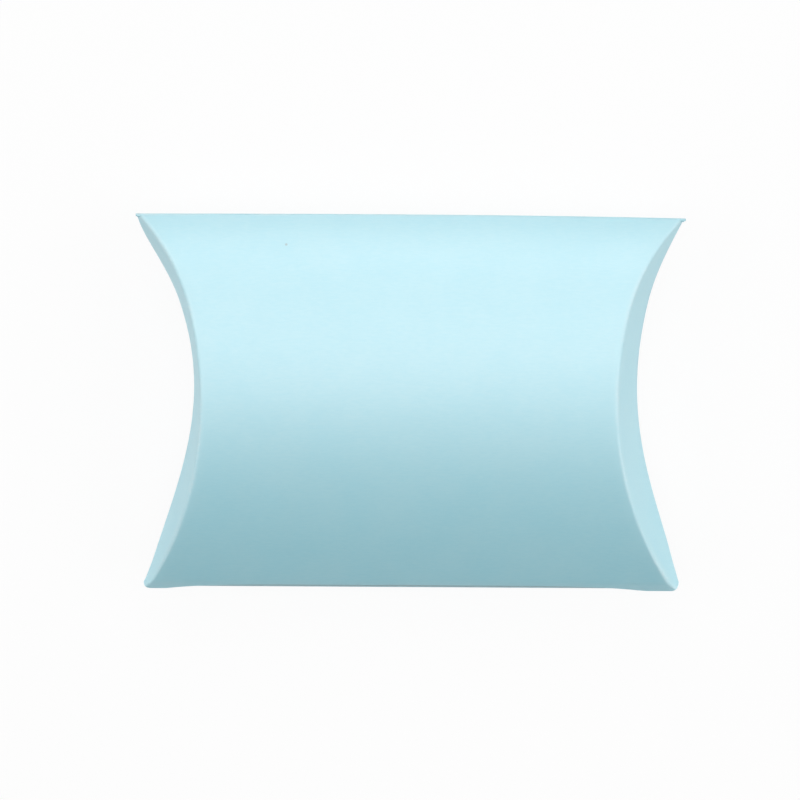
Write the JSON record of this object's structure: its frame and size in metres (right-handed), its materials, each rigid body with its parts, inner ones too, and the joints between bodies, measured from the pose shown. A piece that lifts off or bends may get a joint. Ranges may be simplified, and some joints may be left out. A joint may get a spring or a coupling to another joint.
{
  "type": "pillow box",
  "caption": "Flat pillow-shaped card gift box: two bowed panels joined by side folds, closed at both ends by nested flaps on curved creases.",
  "frame": {"origin": "on the floor under the middle of the box, at the bottom centre of its bounding box", "axes": "+X along the side folds, +Y across the panels to the upper side fold, +Z out of the front panel"},
  "size_m": [0.09, 0.063, 0.018],
  "materials": {
    "card": "smooth pale aqua card, low sheen",
    "glue": "dried white glue film"
  },
  "bodies": {
    "sleeve": {"front_panel": "card", "back_panel": "card", "upper_fold": "card", "lower_fold": "card", "glue_flap": "card", "glue_line": "glue", "left_back_crease": "card", "right_back_crease": "card"},
    "left_outer": {"left_outer_flap": "card", "left_front_crease": "card"},
    "right_outer": {"right_outer_flap": "card", "right_front_crease": "card"},
    "left_inner": {"left_inner_flap": "card"},
    "right_inner": {"right_inner_flap": "card"}
  },
  "joints": [
    {"name": "left_outer_fold", "type": "hinge", "parent": "sleeve", "child": "left_outer", "pos_m": [-0.0338, 0, 0.0178], "axis": [0, 1, 0], "range_deg": [0, 90]},
    {"name": "left_inner_fold", "type": "hinge", "parent": "sleeve", "child": "left_inner", "pos_m": [-0.03277, 0, 0.00108], "axis": [0, 1, 0], "range_deg": [0, 85]},
    {"name": "right_outer_fold", "type": "hinge", "parent": "sleeve", "child": "right_outer", "pos_m": [0.0338, 0, 0.0178], "axis": [0, -1, 0], "range_deg": [0, 90]},
    {"name": "right_inner_fold", "type": "hinge", "parent": "sleeve", "child": "right_inner", "pos_m": [0.03277, 0, 0.00108], "axis": [0, -1, 0], "range_deg": [0, 85]}
  ]
}
